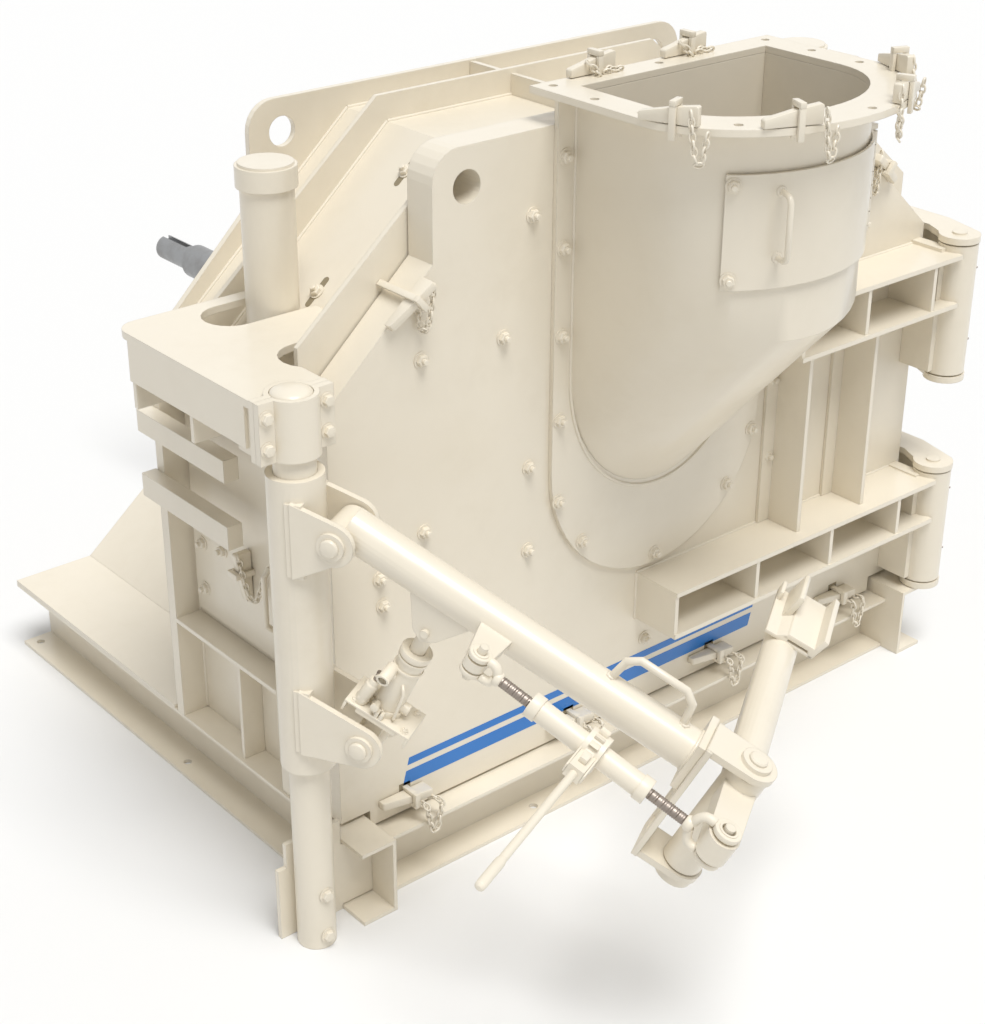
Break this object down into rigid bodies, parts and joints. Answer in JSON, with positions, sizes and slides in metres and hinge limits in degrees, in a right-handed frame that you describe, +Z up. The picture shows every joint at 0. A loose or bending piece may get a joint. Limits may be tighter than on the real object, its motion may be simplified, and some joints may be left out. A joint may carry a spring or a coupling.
{
  "type": "cage mill crusher",
  "caption": "Cage mill crusher on a channel base with a hinged front door that carries the feed chute, a rotor shaft and a swinging jib.",
  "frame": {"origin": "middle of the front cross channel's underside, on the centre plane of the housing", "axes": "+X to the right as seen from the front, +Y to the back along the shaft, +Z up"},
  "size_m": [3.1076, 4.2426, 2.317],
  "materials": {
    "cream_paint": "gloss cream machine paint",
    "bare_steel": "bare machined steel",
    "cast_liner": "dark cast alloy",
    "galvanised": "galvanised steel"
  },
  "bodies": {
    "frame": {"side_channel_left": "cream_paint", "side_channel_right": "cream_paint", "front_cross_channel": "cream_paint", "rear_cross_channel": "cream_paint", "bearing_pedestal": "cream_paint", "deck_plate_left": "cream_paint", "deck_plate_right": "cream_paint", "housing_shell": "cream_paint", "housing_front_frame": "cream_paint", "mid_rib_plate": "cream_paint", "rear_lifting_plate": "cream_paint", "vent_pipe_left": "cream_paint", "vent_pipe_right": "cream_paint", "side_frame_left": "cream_paint", "side_frame_right": "cream_paint", "side_panel_left": "cream_paint", "side_panel_right": "cream_paint", "upper_latch_bar_left": "cream_paint", "upper_latch_bar_right": "cream_paint", "lower_latch_bar_left": "cream_paint", "lower_latch_bar_right": "cream_paint", "bearing_cartridge": "cream_paint", "mast_head_bracket": "cream_paint", "jib_mast": "cream_paint", "mast_clamp_cap": "cream_paint", "mast_foot_bracket": "cream_paint", "upper_hinge_bracket": "cream_paint", "lower_hinge_bracket": "cream_paint"},
    "rotor": {"rotor_shaft": "bare_steel", "cage_rotor": "cast_liner"},
    "door": {"door_panel": "cream_paint", "chute_mounting_flange": "cream_paint", "feed_chute": "cream_paint", "chute_top_flange": "cream_paint", "upper_hinge_arm": "cream_paint", "lower_hinge_arm": "cream_paint", "door_rib_inner": "cream_paint", "door_rib_outer": "cream_paint"},
    "hatch": {"chute_hatch": "cream_paint"},
    "jib": {"jib_sleeve": "cream_paint"},
    "boom": {"jib_boom": "cream_paint", "knuckle_bracket": "cream_paint"},
    "crank": {"bell_crank": "cream_paint", "cradle_saddle": "cream_paint"},
    "jack": {"jack_body": "cream_paint"},
    "ram": {"jack_ram": "bare_steel"},
    "near_clevis": {"turnbuckle_near_clevis": "bare_steel"},
    "buckle": {"turnbuckle_body": "cream_paint", "ratchet_handle": "galvanised"},
    "far_clevis": {"turnbuckle_far_clevis": "bare_steel"}
  },
  "joints": [
    {"name": "front_door", "type": "hinge", "parent": "frame", "child": "door", "pos_m": [1.267, -0.105, 0.9], "axis": [0, 0, 1], "range_deg": [0, 100]},
    {"name": "jib_swing", "type": "hinge", "parent": "frame", "child": "jib", "pos_m": [-1.405, -0.08, 1], "axis": [0, 0, 1], "range_deg": [-180, 0]},
    {"name": "boom_luff", "type": "hinge", "parent": "jib", "child": "boom", "pos_m": [-1.3375, -0.19691, 1.357], "axis": [-0.866, -0.5, 0], "range_deg": [-5, 8]},
    {"name": "jack_tilt", "type": "hinge", "parent": "jib", "child": "jack", "pos_m": [-1.3075, -0.24888, 0.757], "axis": [-0.866, -0.5, 0], "range_deg": [-2.5, 2.5]},
    {"name": "jack_stroke", "type": "slide", "parent": "jack", "child": "ram", "axis": [0.2151, -0.3726, 0.9027], "range_m": [-0.03, 0.046]},
    {"name": "knuckle_turn", "type": "hinge", "parent": "boom", "child": "crank", "pos_m": [-0.82788, -1.13959, 0.83813], "axis": [0.227, -0.3932, 0.891], "range_deg": [-10, 10]},
    {"name": "turnbuckle_swing", "type": "hinge", "parent": "boom", "child": "near_clevis", "pos_m": [-1.28721, -0.66402, 1.16501], "axis": [0.227, -0.3932, 0.891], "range_deg": [-1, 1]},
    {"name": "turnbuckle_wind", "type": "slide", "parent": "near_clevis", "child": "buckle", "axis": [0.3512, -0.8203, -0.4514], "range_m": [-0.022, 0.022]},
    {"name": "turnbuckle_reach", "type": "slide", "parent": "near_clevis", "child": "far_clevis", "axis": [0.3512, -0.8203, -0.4514], "range_m": [-0.042, 0.042]},
    {"name": "chute_hatch_hinge", "type": "hinge", "parent": "door", "child": "hatch", "pos_m": [0.392, -0.4, 2.01], "axis": [0, 0, 1], "range_deg": [0, 110]},
    {"name": "rotor_spin", "type": "hinge", "parent": "frame", "child": "rotor", "pos_m": [0, 0.5, 1], "axis": [0, 1, 0], "continuous": true}
  ],
  "couplings": [
    {"joint": "jib_swing", "follows": "front_door", "ratio": -1.8},
    {"joint": "jack_tilt", "follows": "boom_luff", "ratio": -0.2218},
    {"joint": "jack_stroke", "follows": "boom_luff", "m_per_rad": 0.316},
    {"joint": "turnbuckle_swing", "follows": "knuckle_turn", "ratio": 0.0494},
    {"joint": "turnbuckle_wind", "follows": "knuckle_turn", "m_per_rad": 0.11735},
    {"joint": "turnbuckle_reach", "follows": "knuckle_turn", "m_per_rad": 0.2347}
  ]
}
